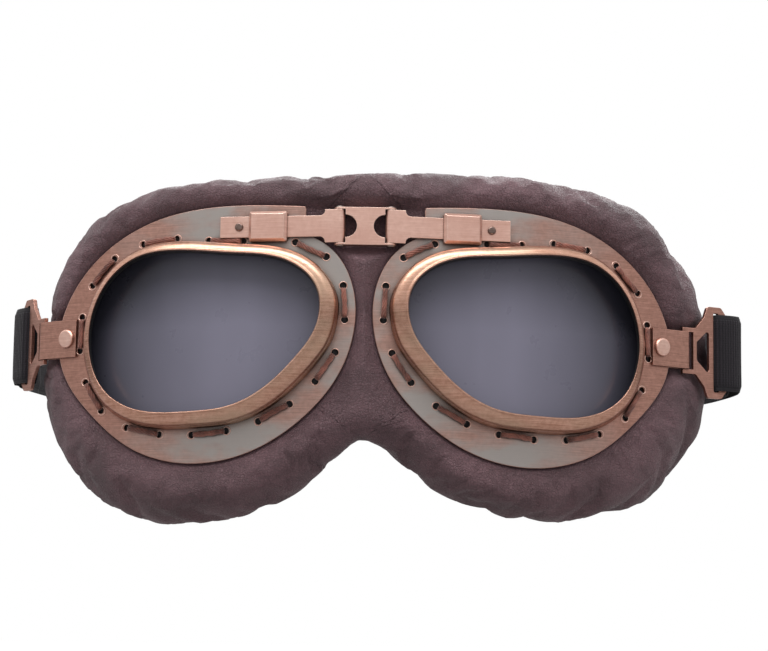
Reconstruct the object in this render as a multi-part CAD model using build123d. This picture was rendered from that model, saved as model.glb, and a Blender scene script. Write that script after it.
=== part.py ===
from build123d import *
import math
import os

# Motorcycle goggles: two lens frames on an adjustable bridge, a padded leather mask laced
# to the frames, and an elastic head strap on two swinging buckles.
# +Z is up, the lenses face -Y, +X is the viewer's right.
# The origin is the centre of the bridge link's front face. Millimetres throughout.

# ---- driving dimensions ------------------------------------------------------------------

wrap_radius = 172.0          # both frame plates lie on one upright cylinder
eye_x = 50.0                 # lens centre from the symmetry plane
eye_z = -33.2                # lens centre below the bridge link
plate_thickness = 1.2

bezel_width = 3.9            # from the lens opening to the bezel's outer wall
bezel_shift = (-1.6, -0.5)   # the outer wall is moved towards the nose and down
bezel_height = 8.2           # front lip above the frame plate
bezel_wall = 6.2             # outer wall above the frame plate
bezel_slope = 1.6            # width of the sloped outer band of the face
seat_margin = 1.3            # rabbet behind the bezel that holds the lens
lens_thickness = 2.0
lens_back = -0.9             # lens back face above the frame plate's front
gasket_thickness = 1.5
gasket_lip = 0.9             # gasket shows this far inside the lens opening

hole_radius = 1.1            # lacing holes
hole_count = 22
keeper_pitch = 16.6          # distance between the two holes beside the keeper
thread_radius = 0.7
thread_gap = 0.15            # the taut thread clears the wrapped plate

link_width = 12.3
link_height = 11.8
link_thickness = 1.0
link_corner = 0.5
notch_radius = 3.55
ear_thickness = 0.6
pin_x = 7.9
pin_radius = 0.8
pin_head = 0.5               # height of each pin head
pin_head_round = 0.4
pin_head_inset = 0.3         # the head is this much smaller than the roll
running_clearance = 0.05
roll_radius = 1.7

strip_angle = 9.5            # the straight strip touches the wrapped plate at this angle
strip_height = 6.6
strip_thickness = 1.0
strip_reach = 17.0           # from the tangent point to the strip's outer end
head_height = 10.4
head_length = 4.4
shoulder_radius = 1.7
sliding_clearance = 0.05

keeper_length = 12.0
keeper_height = 9.6
keeper_rise = 2.5
keeper_bevel = 0.9
keeper_corner = 0.8
keeper_offset = 1.7          # keeper centre outside the strip's tangent point
stud_offset = 11.0           # stop stud outside the tangent point
stud_radius = 1.3
stud_shank = 0.8
stud_head = 0.7
stud_round = 0.5

tab_angle = 33.5             # the strap tab lies tangent to the plate at this angle
tab_height = 12.0
tab_thickness = 0.8
tab_inner = 3.7              # from the rivet to the tab's inner end
tab_pivot = 10.9             # from the rivet to the buckle bar
tab_z = eye_z + 0.6
rivet_radius = 1.1
rivet_head = 2.95
rivet_rise = 1.1
rivet_round = 0.7
washer_radius = 2.6
washer_thickness = 0.6
washer_room = 0.2            # leather pressed back round the washer

buckle_thickness = 1.2
buckle_ear = 7.5             # half height at the pivot
ear_length = 3.1             # the ears' gap, where the tab's roll sits
buckle_half = 15.0           # half height at the strap slot
buckle_end = 16.5            # pivot to the outer bar's far edge
buckle_corner = 1.3
outer_bar = 13.3             # pivot to the outer bar's near edge
window_corners = [(4.4, 3.0), (9.4, 7.5)]
window_round = 0.8
slot_width = 2.2
slot_round = 0.6
slot_room = 0.5              # above and below the strap in its slot
right_rest_angle = 29.0      # buckle plane from the X axis, hanging back
left_rest_angle = 58.0

strap_width = 25.0
strap_thickness = 1.4
strap_gap = 0.1              # between the strap loop and the bar it wraps
strap_rear_y = 206.0
strap_straight = 30.0        # half length of the straight run the slider travels on
slider_length = 17.0
slider_height = 30.0
slider_wall = 1.1
slider_corner = 1.5
slider_slot = 4.4            # width of the two outside slots
slider_slot_x = 3.7
slider_window = 11.0
slider_room = 0.35           # between the strap and the slider

mask_front = -2.2            # leather cover's front, measured from the frame plates' front
cover_thickness = 1.4
mask_back = -23.0
lining_thickness = 2.5
cushion_gap = 0.15           # between the mask's layers
eye_margin = 2.6             # mask opening outside the lens opening
foam_setback = 1.0           # foam starts this far outside the mask opening
part_x = 7.0                 # mask halves part here, and open in a V towards the face
part_slope = 0.35
nose_half = 3.4
nose_rise = 1.0              # nose piece stands behind the covers' front
nose_setback = 1.5           # and this far inside the mask's edge; also its corner radius

# ---- outlines, right-hand side, measured from the lens centre (outward, up) ---------------

lens_points = [
    (-36.2, 6.5), (-32.6, 16.8), (-24.6, 21.8), (-8.6, 24.0), (12.3, 25.4), (20.9, 24.0),
    (28.6, 19.2), (34.0, 11.6), (36.5, 2.3), (35.8, -7.8), (31.3, -17.2), (22.5, -23.2),
    (4.2, -24.8), (-8.8, -23.2), (-19.7, -17.5), (-29.4, -7.9),
]
plate_points = [
    (-31.3, 30.6), (-41.4, 24.3), (-46.6, 13.2), (-46.9, 1.1), (-42.4, -12.7), (-31.6, -26.2),
    (-15.5, -36.7), (4.0, -40.3), (22.0, -35.6), (37.0, -23.4), (46.5, -9.8), (48.1, 2.0),
    (43.0, 16.5), (32.0, 28.5), (16.0, 36.7), (-3.0, 40.0), (-31.3, 39.6),
]
lace_points = [
    (-2.0, 29.3), (-11.6, 29.0), (-20.0, 28.9), (-28.3, 28.3), (-36.5, 25.0), (-43.0, 16.0),
    (-44.0, 4.0), (-40.9, -6.8), (-34.1, -16.3), (-24.9, -23.9), (-13.8, -28.9), (-3.9, -31.0),
    (7.1, -31.5), (17.2, -30.7), (26.8, -27.6), (34.4, -21.4), (39.4, -11.3), (41.0, -0.2),
    (39.8, 10.2), (35.6, 19.8), (27.0, 27.0), (17.6, 29.9), (6.7, 30.3),
]

buckle_outline = [
    (-1.2, buckle_ear), (4.0, buckle_ear), (7.4, 11.3), (8.8, buckle_half), (14.2, buckle_half),
    (buckle_end, 12.2),
]
strap_side_points = [(78.0, 165.0), (101.0, 122.0), (114.0, 88.0)]      # seen from above
strap_side_course = (0.3, -1)

# ---- mask outlines, from the nose arch round the temple to the top centre (outward, up) ---
# Measured from the symmetry plane and the lens centre's height. The leather is hand
# stretched, so the two sides differ.

right_mask_points = [
    (0.0, -32.6), (7.3, -34.9), (15.3, -41.0), (23.2, -46.9), (33.0, -50.8), (47.0, -54.6),
    (63.0, -54.9), (80.0, -52.0), (91.5, -46.6), (103.0, -33.5), (109.6, -22.0), (112.8, -6.0),
    (110.8, 16.0), (105.5, 30.0), (96.0, 41.5), (85.0, 47.2), (70.0, 50.3), (46.0, 52.4),
    (20.0, 52.2), (0.0, 51.2),
]
left_mask_points = [
    (0.0, -32.6), (7.3, -37.0), (15.6, -44.0), (23.4, -49.4), (33.0, -53.2), (47.0, -57.6),
    (63.0, -57.2), (75.0, -54.0), (87.5, -47.0), (96.2, -35.2), (102.8, -20.0), (104.4, -6.0),
    (102.4, 14.0), (97.5, 27.5), (89.5, 38.4), (79.0, 44.6), (66.0, 48.9), (44.0, 50.4),
    (20.0, 50.9), (0.0, 51.2),
]

# ---- places worked out from the dimensions ------------------------------------------------

front_layer = sliding_clearance + strip_thickness      # strip's front above the plate
pin_depth = roll_radius                                # pin axis behind the link's face
angle = math.radians(strip_angle)
# the strip's front runs tangent to the roll, and its back is tangent to the wrapped plate
pin_normal = front_layer - roll_radius
pin_along = (pin_x - wrap_radius * math.sin(angle) - pin_normal * math.sin(angle)) / math.cos(angle)
wrap_front = (pin_depth - wrap_radius * (1 - math.cos(angle))
              - pin_along * math.sin(angle) + pin_normal * math.cos(angle))
axis_y = wrap_front + wrap_radius


def tangent_plane(degrees, height):
    """Plane on the wrapped plate: local x outward, local y up, local z out of the front."""
    turn = math.radians(degrees)
    point = (wrap_radius * math.sin(turn), axis_y - wrap_radius * math.cos(turn), height)
    return Plane(origin=point, x_dir=(math.cos(turn), math.sin(turn), 0),
                 z_dir=(math.sin(turn), -math.cos(turn), 0))


strip_plane = tangent_plane(strip_angle, 0.0)
tab_plane = tangent_plane(tab_angle, tab_z)
tab_roll = (2 * tab_thickness + plate_thickness + 3 * sliding_clearance) / 2
tab_roll_normal = sliding_clearance + tab_thickness - tab_roll
bar_radius = tab_roll - tab_thickness - running_clearance
strap_z = tab_z
washer_back = -plate_thickness - tab_thickness - 2 * sliding_clearance - washer_thickness

# ---- shared construction ------------------------------------------------------------------

deep = 200.0                 # longer than anything that is cut
tall = 300.0
outline_steps = 28           # points that carry an offset outline


def place(plane, x=0.0, y=0.0, z=0.0):
    return plane.location * Location((x, y, z))


def closed_outline(points):
    """Face in the front view bounded by one smooth closed curve."""
    return make_face(Spline(points, periodic=True))


def points_beside(line, amount, count):
    """Points that follow a curve at a distance, on its left-hand side."""
    points = []
    for step in range(count):
        spot = line.position_at(step / (count - 1))
        along = line.tangent_at(step / (count - 1))
        points.append((spot.X - amount * along.Y, spot.Y + amount * along.X))
    return points


def grown_lens(amount, shift=(0.0, 0.0)):
    """The lens outline moved outward by an amount, still one smooth closed curve."""
    line = Spline(lens_points, periodic=True)
    points = points_beside(line, amount, outline_steps + 1)[:-1]
    return Location(shift) * closed_outline(points)


def front_prism(face, centre_x=0.0, centre_z=0.0):
    """The front-view face carried straight back through the whole object."""
    plane = Plane(origin=(centre_x, deep / 2, centre_z), x_dir=(1, 0, 0), z_dir=(0, -1, 0))
    return extrude(plane.location * face, deep)


def wall(front, back):
    """Upright cylindrical wall between two heights above the frame plates' front."""
    middle = Location((0, axis_y, eye_z))
    return middle * (Cylinder(wrap_radius + front, tall) - Cylinder(wrap_radius + back, tall))


def wrapped(face, front, back, centre_x=eye_x):
    return front_prism(face, centre_x, eye_z) & wall(front, back)


def both_sides(shape):
    return {"right": shape, "left": mirror(shape, about=Plane.YZ)}


def solids(shape):
    found = shape.solids()
    return found[0] if len(found) == 1 else Compound(found)


lens_face = closed_outline(lens_points)
bezel_face = grown_lens(bezel_width, bezel_shift)
seat_face = grown_lens(seat_margin)
opening_face = Location((eye_x, 0)) * grown_lens(eye_margin)
foam_opening = Location((eye_x, 0)) * grown_lens(eye_margin + foam_setback)

# ---- lens frames --------------------------------------------------------------------------


def lace_places():
    """Evenly spaced lacing holes, with one wide step across the keeper."""
    line = Spline(lace_points, periodic=True)
    samples = 400
    points = [line.position_at(step / samples) for step in range(samples)]
    keeper_x = strip_plane.origin.X - eye_x + keeper_offset * math.cos(angle)
    above = [step for step in range(samples) if points[step].Y > 0]
    start = min(above, key=lambda step: abs(points[step].X - keeper_x))
    towards_nose = 1 if points[start + 3].X < points[start - 3].X else -1
    first = keeper_pitch / 2 / line.length
    pitch = (1 - 2 * first) / (hole_count - 1)
    return [line.position_at((start / samples + towards_nose * (first + pitch * step)) % 1.0)
            for step in range(hole_count)]


def surface_location(outward, up, height=0.0):
    """Frame on the wrapped plate at a front-view place: local z leaves the surface."""
    x = eye_x + outward
    plane = tangent_plane(math.degrees(math.asin(x / wrap_radius)), eye_z + up)
    return place(plane, z=height)


def frame_plate(holes):
    edge = Spline(plate_points)
    close = Line(plate_points[-1], plate_points[0])
    plate = wrapped(make_face([edge, close]) - seat_face, 0, -plate_thickness)
    for spot in holes:
        plate -= surface_location(spot.X, spot.Y) * Cylinder(hole_radius, 4 * plate_thickness)
    plate -= place(tab_plane) * Cylinder(rivet_radius + running_clearance, 4 * plate_thickness)
    return plate


def bezel():
    ring = wrapped(bezel_face - lens_face, bezel_height, 0)
    ring -= wrapped(seat_face, lens_back + lens_thickness + sliding_clearance, -1)
    front = max(ring.faces().filter_by(GeomType.CYLINDER), key=lambda face: face.radius)
    outer = max(front.edges(), key=lambda edge: edge.length)
    return chamfer(outer, bezel_slope, bezel_height - bezel_wall, reference=front)


def lens():
    return wrapped(grown_lens(seat_margin - running_clearance),
                   lens_back + lens_thickness, lens_back)


def lens_gasket():
    ring = grown_lens(seat_margin - running_clearance) - grown_lens(-gasket_lip)
    return wrapped(ring, lens_back, lens_back - gasket_thickness)


def rod(start, end, radius):
    return Solid.make_cylinder(radius, (end - start).length, Plane(origin=start, z_dir=end - start))


def stitch(start, end):
    """One run of thread between two holes, with its ends turned down into them."""
    height = thread_radius + thread_gap
    top = [surface_location(spot.X, spot.Y, height).position for spot in (start, end)]
    low = [surface_location(spot.X, spot.Y, mask_front + height).position for spot in (start, end)]
    thread = rod(top[0], top[1], thread_radius)
    for bend, tip in zip(top, low):
        thread += Location(bend) * Sphere(thread_radius) + rod(bend, tip, thread_radius)
    return thread


def lacing(holes):
    """Threads on the front join the holes in pairs, going round from the keeper."""
    return Compound([stitch(holes[step], holes[step + 1]).solids()[0]
                     for step in range(0, hole_count, 2)])


# ---- bridge -------------------------------------------------------------------------------


def bridge_link():
    face = Plane(origin=(0, link_thickness, 0), x_dir=(1, 0, 0), z_dir=(0, -1, 0))
    outline = RectangleRounded(link_width, link_height, link_corner)
    for side in (-1, 1):
        outline -= Location((side * link_width / 2, 0)) * Circle(notch_radius)
    body = extrude(face.location * outline, link_thickness)
    for side in (-1, 1):
        ear = extrude(SlotCenterToCenter(2 * pin_x, 2 * roll_radius), ear_thickness)
        low = link_height / 2 - ear_thickness if side > 0 else -link_height / 2
        body += Location((0, pin_depth, low)) * ear
    for side in (-1, 1):
        body -= Location((side * pin_x, pin_depth, 0)) * Cylinder(pin_radius, 2 * link_height)
    return body


def bridge_pin():
    pin = Cylinder(pin_radius, link_height)
    head = Cylinder(roll_radius - pin_head_inset, pin_head)
    head = fillet(head.edges().group_by(Axis.Z)[-1], pin_head_round)
    middle = (link_height + pin_head) / 2
    pin += Location((0, 0, middle)) * head + Location((0, 0, -middle), (180, 0, 0)) * head
    return Location((pin_x, pin_depth, 0)) * pin


def bridge_strip():
    """T-headed strip, rolled round the bridge pin at its inner end."""
    length = strip_reach - pin_along
    outline = Location((pin_along + length / 2, 0)) * Rectangle(length, strip_height)
    outline += Location((pin_along + head_length / 2, 0)) * Rectangle(head_length, head_height)
    shoulders = outline.vertices().filter_by(
        lambda corner: abs(abs(corner.Y) - strip_height / 2) < 0.01 and corner.X < strip_reach - 1)
    outline = fillet(shoulders, shoulder_radius)
    strip = place(strip_plane, z=sliding_clearance) * extrude(outline, strip_thickness)
    upright = Location((pin_x, pin_depth, 0))
    strip += upright * Cylinder(roll_radius, head_height)
    strip -= upright * Cylinder(pin_radius + running_clearance, 2 * head_height)
    strip -= place(strip_plane, x=stud_offset) * Cylinder(stud_shank, 10 * strip_thickness)
    return strip


def stop_stud():
    shank = Cylinder(stud_shank, strip_thickness, align=(Align.CENTER, Align.CENTER, Align.MIN))
    head = Cylinder(stud_radius, stud_head, align=(Align.CENTER, Align.CENTER, Align.MIN))
    head = fillet(head.edges().group_by(Axis.Z)[-1], stud_round)
    stud = shank + Location((0, 0, strip_thickness)) * head
    return place(strip_plane, x=stud_offset, z=sliding_clearance) * stud


def keeper():
    """Pressed loop on the frame plate, which the bridge strip slides through."""
    middle = (Align.CENTER, Align.CENTER, Align.MIN)
    block = Box(keeper_length, keeper_height, keeper_rise + 1, align=middle)
    top = block.edges().group_by(Axis.Z)[-1]
    block = chamfer(top, keeper_bevel)
    block = fillet(block.edges().filter_by(Axis.Z), keeper_corner)
    channel = Box(2 * keeper_length, strip_height + 4 * sliding_clearance,
                  strip_thickness + 4 * sliding_clearance, align=middle)
    block = Location((0, 0, -1)) * block - Location((0, 0, -sliding_clearance)) * channel
    block = place(strip_plane, x=keeper_offset) * block
    return block - Location((0, axis_y, eye_z)) * Cylinder(wrap_radius, tall)


# ---- strap tab, rivet and buckle ------------------------------------------------------------


def strap_tab():
    """Sheet folded round the buckle bar and riveted through the frame plate."""
    middle = (Align.MIN, Align.CENTER, Align.MIN)
    leaf = Box(tab_inner + tab_pivot, tab_height, tab_thickness, align=middle)
    back = -plate_thickness - tab_thickness - 2 * sliding_clearance
    tab = place(tab_plane, x=-tab_inner, z=sliding_clearance) * leaf
    tab += place(tab_plane, x=-tab_inner, z=back) * leaf
    roll = place(tab_plane, x=tab_pivot, z=tab_roll_normal) * Rotation(90, 0, 0)
    keep = Cylinder(tab_roll, tab_height) - Cylinder(tab_roll - tab_thickness, tab_height)
    keep &= Location((tab_roll, 0, 0)) * Box(2 * tab_roll, 2 * tab_roll, tab_height)
    tab += roll * keep
    tab -= place(tab_plane) * Cylinder(rivet_radius + running_clearance, 10)
    return tab


def tab_rivet():
    high = sliding_clearance + tab_thickness
    base = (Align.CENTER, Align.CENTER, Align.MIN)
    head = Cylinder(rivet_head, rivet_rise, align=base)
    head = fillet(head.edges().group_by(Axis.Z)[-1], rivet_round)
    shank = Cylinder(rivet_radius, high - washer_back, align=base)
    rivet = Location((0, 0, washer_back)) * shank + Location((0, 0, high)) * head
    return place(tab_plane) * rivet


def rivet_washer():
    ring = Cylinder(washer_radius, washer_thickness) - Cylinder(rivet_radius, washer_thickness)
    return place(tab_plane, z=washer_back + washer_thickness / 2) * ring


def buckle_plane(rest_angle):
    """Plane through the buckle bar: local x towards the strap, y up, z out of the front."""
    pivot = place(tab_plane, x=tab_pivot, z=tab_roll_normal).position
    turn = math.radians(rest_angle)
    return Plane(origin=pivot, x_dir=(math.cos(turn), math.sin(turn), 0),
                 z_dir=(math.sin(turn), -math.cos(turn), 0))


def mirrored_pair(points):
    """Closed outline from its upper half, listed left to right."""
    return points + [(x, -y) for x, y in reversed(points)]


def buckle(rest_angle):
    """Stamped flaring plate: pivot bar, two ears, window, strap slot and outer bar."""
    slot_half = strap_width / 2 + slot_room
    plate = make_face(Polyline(mirrored_pair(buckle_outline), close=True))
    corners = plate.vertices().filter_by(lambda corner: corner.X > ear_length)
    plate = fillet(corners, buckle_corner)
    gap = Rectangle(2 * ear_length, tab_height + 6 * sliding_clearance)
    window = make_face(Polyline(mirrored_pair(window_corners), close=True))
    window = fillet(window.vertices(), window_round)
    slot = RectangleRounded(slot_width, 2 * slot_half, slot_round)
    slot = Location((outer_bar - slot_width / 2, 0)) * slot
    plate = extrude(plate - gap - window - slot, buckle_thickness)
    plate = Location((0, 0, -buckle_thickness / 2)) * plate
    bar = Rotation(90, 0, 0) * Cylinder(bar_radius, 2 * buckle_ear)
    return place(buckle_plane(rest_angle)) * (plate + bar)


def strap_end(rest_angle):
    """Loop of elastic strap round the buckle's outer bar."""
    inner = buckle_thickness + 2 * strap_gap
    length = buckle_end - outer_bar + 2 * strap_gap
    centre = Location(((outer_bar + buckle_end) / 2, 0, 0), (90, 0, 0))
    hollow = Box(length, inner, 2 * strap_width)
    band = Box(length + 2 * strap_thickness, inner + 2 * strap_thickness, strap_width)
    band = fillet(band.edges().filter_by(Axis.Z), strap_thickness)
    return place(buckle_plane(rest_angle)) * (centre * (band - hollow))


# ---- head strap -----------------------------------------------------------------------------


def strap_rear():
    """Elastic strap round the back of the head, straight where the slider runs."""
    start = (strap_straight, strap_rear_y)
    right = Spline([start] + strap_side_points, tangents=[(1, 0), strap_side_course])
    left = mirror(right, about=Plane.YZ).edge()
    middle = Line((-strap_straight, strap_rear_y), start)
    path = Wire([left, middle, right])
    section = Plane(origin=path @ 0, z_dir=path % 0, x_dir=(0, 0, 1))
    band = sweep(section * Rectangle(strap_width, strap_thickness), path)
    return Location((0, 0, strap_z)) * band


def strap_slider():
    """Three-bar slide round the strap: two slots outside, one window inside."""
    inside_y = strap_thickness + 2 * slider_room
    body = Box(slider_length, inside_y + 2 * slider_wall, slider_height)
    body = fillet(body.edges().filter_by(Axis.Y), slider_corner)
    body -= Box(2 * slider_length, inside_y, strap_width + 2 * slider_room)
    slot = Box(slider_slot, 4 * slider_wall, strap_width)
    for side in (-1, 1):
        body -= Location((side * slider_slot_x, inside_y / 2 + slider_wall, 0)) * slot
    window = Box(slider_window, 4 * slider_wall, strap_width)
    body -= Location((0, -inside_y / 2 - slider_wall, 0)) * window
    return Location((0, strap_rear_y, strap_z)) * body


# ---- padded mask ----------------------------------------------------------------------------


def mask_face(points, inset):
    """One side of the mask in the front view, closed along the symmetry plane."""
    edge = Spline(points_beside(Spline(points), inset, outline_steps))
    return make_face([edge, Line(edge @ 1, edge @ 0)])


def parted(shape, allowance=0.0):
    """Keep the part of a mask half beyond the V-shaped parting at the nose."""
    near, far = -20.0, 120.0
    start = part_x + allowance + part_slope * near
    stop = part_x + allowance + part_slope * far
    region = make_face(Polyline((start, near), (deep, near), (deep, far), (stop, far), close=True))
    return shape & Location((0, 0, -tall / 2)) * extrude(region, tall)


def mask_cover(points):
    """Leather: a front panel with the eye opening, dented by the rivet washer, and a wall."""
    whole = mask_face(points, 0)
    rim = whole - mask_face(points, cover_thickness)
    cover = wrapped(whole - opening_face, mask_front, mask_front - cover_thickness, 0)
    base = (Align.CENTER, Align.CENTER, Align.MIN)
    dent = Cylinder(washer_radius + washer_room, cover_thickness, align=base)
    cover -= place(tab_plane, z=washer_back - washer_room) * dent
    return parted(cover + wrapped(rim, mask_front - cover_thickness, mask_back, 0))


def mask_foam(points):
    front = mask_front - cover_thickness - cushion_gap
    back = mask_back + lining_thickness + cushion_gap
    ring = mask_face(points, cover_thickness + cushion_gap) - foam_opening
    return parted(wrapped(ring, front, back, 0))


def mask_lining(points):
    ring = mask_face(points, cover_thickness + cushion_gap) - opening_face
    return parted(wrapped(ring, mask_back + lining_thickness, mask_back, 0))


def mask_nose_piece():
    """Leather and foam over the nose, between the two halves."""
    low = right_mask_points[0][1] + nose_setback
    high = right_mask_points[-1][1] - nose_setback
    face = RectangleRounded(2 * nose_half, high - low, nose_setback)
    return wrapped(Location((0, (low + high) / 2)) * face, mask_front - nose_rise, mask_back, 0)


# ---- write the parts --------------------------------------------------------------------------

holes = lace_places()
nodes = {
    "bridge_link": bridge_link(),
    "mask_nose_piece": mask_nose_piece(),
    "strap_rear": strap_rear(),
    "strap_slider": strap_slider(),
}
paired = {
    "bridge_pin": bridge_pin(),
    "bridge_strip": bridge_strip(),
    "stop_stud": stop_stud(),
    "frame_plate": frame_plate(holes),
    "bezel": bezel(),
    "lens": lens(),
    "lens_gasket": lens_gasket(),
    "lacing": lacing(holes),
    "keeper": keeper(),
    "strap_tab": strap_tab(),
    "tab_rivet": tab_rivet(),
    "rivet_washer": rivet_washer(),
}
for name, shape in paired.items():
    for side, solid in both_sides(shape).items():
        nodes[f"{side}_{name}"] = solid

for side, points, rest_angle in (("right", right_mask_points, right_rest_angle),
                                 ("left", left_mask_points, left_rest_angle)):
    own_pieces = {
        "mask_cover": mask_cover(points),
        "mask_foam": mask_foam(points),
        "mask_lining": mask_lining(points),
        "buckle": buckle(rest_angle),
        "strap_end": strap_end(rest_angle),
    }
    for name, shape in own_pieces.items():
        nodes[f"{side}_{name}"] = both_sides(shape)[side]

os.makedirs("parts", exist_ok=True)
for name, shape in nodes.items():
    export_step(solids(shape), f"parts/{name}.step")
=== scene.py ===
"""Looks for the motorcycle goggles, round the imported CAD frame: metres, +Z up, lenses facing -Y."""

import functools
import math

import bpy
import bmesh
import numpy as np
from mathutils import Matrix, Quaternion, Vector, noise


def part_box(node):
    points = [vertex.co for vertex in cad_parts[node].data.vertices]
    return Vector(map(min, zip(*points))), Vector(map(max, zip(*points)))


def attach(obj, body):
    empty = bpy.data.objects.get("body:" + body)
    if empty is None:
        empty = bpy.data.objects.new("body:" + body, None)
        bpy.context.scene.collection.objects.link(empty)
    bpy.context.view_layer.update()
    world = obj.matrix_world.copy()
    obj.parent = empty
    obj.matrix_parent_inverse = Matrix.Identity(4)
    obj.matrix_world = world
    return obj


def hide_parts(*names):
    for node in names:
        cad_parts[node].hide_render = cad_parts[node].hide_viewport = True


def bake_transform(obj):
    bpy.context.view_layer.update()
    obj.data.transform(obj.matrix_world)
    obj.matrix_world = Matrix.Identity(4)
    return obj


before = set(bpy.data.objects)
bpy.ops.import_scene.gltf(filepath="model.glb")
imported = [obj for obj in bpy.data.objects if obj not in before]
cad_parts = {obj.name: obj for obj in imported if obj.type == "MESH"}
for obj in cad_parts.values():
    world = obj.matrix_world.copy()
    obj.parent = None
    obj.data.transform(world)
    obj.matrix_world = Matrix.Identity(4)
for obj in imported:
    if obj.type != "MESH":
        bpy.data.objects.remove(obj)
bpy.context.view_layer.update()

MM = 0.001
SIDES = (("left", -1), ("right", 1))

# ---- measuring the frame --------------------------------------------------------------------

FRONT_VIEW = [0, 2]          # x and z
WRAP_RADIUS = 172 * MM       # the lens frames' fronts lie on one upright cylinder


def vertex_values(mesh, kind):
    """Every vertex's place (co) or normal."""
    return np.array([getattr(vertex, kind) for vertex in mesh.vertices])


def mesh_edges(name):
    return np.array([edge.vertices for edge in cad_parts[name].data.edges])


def node_points(name):
    return vertex_values(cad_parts[name].data, "co")


def wrap_axis():
    """The cylinder's axis: the frame plate's front is its outermost surface."""
    points = node_points("right_frame_plate")
    return float(np.min(points[:, 1] + np.sqrt(WRAP_RADIUS ** 2 - points[:, 0] ** 2)))


AXIS_Y = wrap_axis()


def on_wrap(flat, height):
    """Points above front-view places, at a height over the frame plates' front."""
    depth = AXIS_Y - np.sqrt((WRAP_RADIUS + height) ** 2 - flat[..., 0] ** 2)
    return np.stack([flat[..., 0], depth, flat[..., 1]], axis=-1)


def wrap_normal(flat):
    out = np.stack([flat[..., 0], -np.sqrt(WRAP_RADIUS ** 2 - flat[..., 0] ** 2),
                    np.zeros(flat.shape[:-1])], axis=-1)
    return out / WRAP_RADIUS


def eye_centre(side):
    low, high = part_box(f"{side}_lens")
    return np.array([(low.x + high.x) / 2, (low.z + high.z) / 2])


@functools.lru_cache
def node_segments(name):
    """The node's mesh edges in the front view, as starts and ends."""
    points = node_points(name)[:, FRONT_VIEW]
    ends = mesh_edges(name)
    return points[ends[:, 0]], points[ends[:, 1]]


def cast(segments, centre, angles, pick):
    """Distance from the centre to the nearest or farthest segment along each angle."""
    a, b = segments[0] - centre, segments[1] - centre
    found = np.zeros(len(angles))
    for index, angle in enumerate(angles):
        ray = np.array([math.cos(angle), math.sin(angle)])
        side_a = a[:, 1] * ray[0] - a[:, 0] * ray[1]
        side_b = b[:, 1] * ray[0] - b[:, 0] * ray[1]
        crosses = (side_a * side_b <= 0) & (np.abs(side_a - side_b) > 1e-12)
        share = side_a[crosses] / (side_a[crosses] - side_b[crosses])
        hits = (a[crosses] + (b[crosses] - a[crosses]) * share[:, None]) @ ray
        hits = hits[hits > 0]
        found[index] = pick(hits) if len(hits) else 0
    return found


def polar(centre, angles, radii):
    return centre + np.stack([np.cos(angles), np.sin(angles)], axis=-1) * radii[..., None]


def smooth_loop(values, keep):
    """A closed run of values with only its slow waves kept."""
    waves = np.fft.rfft(values, axis=0)
    waves[keep:] = 0
    return np.fft.irfft(waves, len(values), axis=0)


def segment_distance(points, loop):
    """Distance from each point to a closed polyline."""
    start, step = loop, np.roll(loop, -1, axis=0) - loop
    length = np.maximum((step ** 2).sum(axis=1), 1e-18)
    best = np.full(len(points), np.inf)
    for begin, move, size in zip(start, step, length):
        away = points - begin
        share = np.clip(away @ move / size, 0, 1)
        best = np.minimum(best, ((away - share[:, None] * move) ** 2).sum(axis=1))
    return np.sqrt(best)


# ---- mesh helpers ---------------------------------------------------------------------------


def new_piece(name, points, faces, material, closed=False):
    """A smooth-shaded mesh object; a closed one has its faces turned outward."""
    mesh = bpy.data.meshes.new(name)
    mesh.from_pydata(np.asarray(points).reshape(-1, 3).tolist(), [], faces)
    if closed:
        shell = bmesh.new()
        shell.from_mesh(mesh)
        bmesh.ops.recalc_face_normals(shell, faces=shell.faces)
        shell.to_mesh(mesh)
        shell.free()
    mesh.materials.append(material)
    for polygon in mesh.polygons:
        polygon.use_smooth = True
    mesh.update()
    piece = bpy.data.objects.new(name, mesh)
    bpy.context.scene.collection.objects.link(piece)
    return piece


def grid_faces(rows, columns, closed_rows=False):
    """Quads round a sleeve of points stored row after row."""
    faces = []
    for row in range(rows if closed_rows else rows - 1):
        for column in range(columns):
            below, beside = (row + 1) % rows, (column + 1) % columns
            faces.append((row * columns + column, row * columns + beside,
                          below * columns + beside, below * columns + column))
    return faces


def capped_faces(rows, columns):
    """The quads of an open sleeve and a face over each of its ends."""
    first, last = range(columns), range((rows - 1) * columns, rows * columns)
    return grid_faces(rows, columns) + [tuple(first)[::-1], tuple(last)]


def unit(vectors):
    return vectors / np.linalg.norm(vectors, axis=-1, keepdims=True)


def rings_along(path, along, up, radius, sides):
    """Circles of points round a path."""
    across = unit(np.cross(along, up))
    lift = np.cross(across, along)
    turn = np.linspace(0, 2 * math.pi, sides, endpoint=False)[None, :, None]
    ring = across[:, None] * np.cos(turn) + lift[:, None] * np.sin(turn)
    return (path[:, None] + ring * radius).reshape(-1, 3)


def tube(path, radius, sides, up):
    """Points and faces of a capped tube along an open path."""
    path = np.asarray(path, float)
    points = rings_along(path, unit(np.gradient(path, axis=0)), up, radius, sides)
    return points, capped_faces(len(path), sides)


def closed_tube(path, radius, sides):
    """Points and faces of a tube along a closed path over the wrap."""
    along = unit(np.roll(path, -1, axis=0) - np.roll(path, 1, axis=0))
    points = rings_along(path, along, wrap_normal(path[:, FRONT_VIEW]), radius, sides)
    return points, grid_faces(len(path), sides, closed_rows=True)


def circle(centre, radius, count):
    return polar(centre, np.linspace(0, 2 * math.pi, count, endpoint=False), np.array(radius))


def joined(parts):
    """Several point and face lists as one."""
    points, faces, count = [], [], 0
    for part_points, part_faces in parts:
        points.append(np.asarray(part_points).reshape(-1, 3))
        faces += [tuple(index + count for index in face) for face in part_faces]
        count += len(points[-1])
    return np.concatenate(points), faces

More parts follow.
